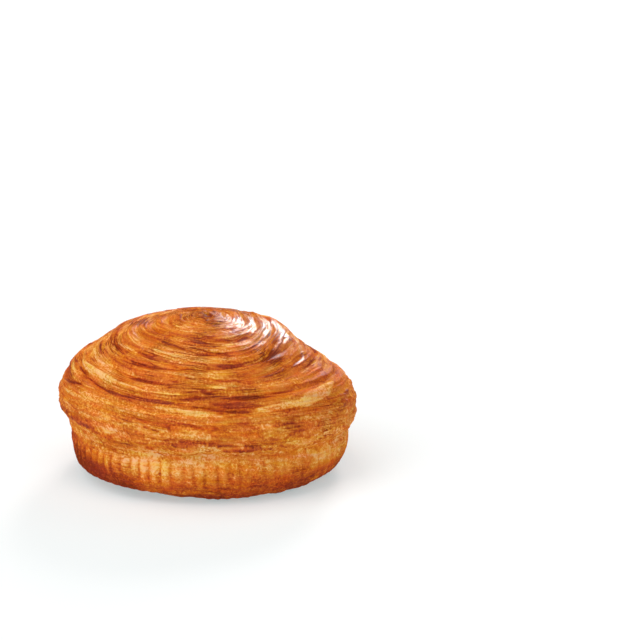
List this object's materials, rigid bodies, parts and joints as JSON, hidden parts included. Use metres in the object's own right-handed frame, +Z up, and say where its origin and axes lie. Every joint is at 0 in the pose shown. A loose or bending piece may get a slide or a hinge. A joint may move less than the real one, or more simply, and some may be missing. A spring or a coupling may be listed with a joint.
{
  "type": "laminated butter bun",
  "caption": "Round laminated butter bun with a domed spiral-coiled crown, an overhanging bulge and a fluted base band.",
  "frame": {"origin": "middle of the bounding box in plan, at the height of the flat foot", "axes": "+Z up from the flat foot through the swirled crown, -Y toward the front that the picture shows, +X to its right"},
  "size_m": [0.1, 0.1002, 0.0553],
  "materials": {
    "baked_crust": "flaky golden-brown baked crust with darker grooves and a thin glossy egg glaze on the crown"
  },
  "bodies": {
    "root": {"bun": "baked_crust"}
  },
  "joints": []
}
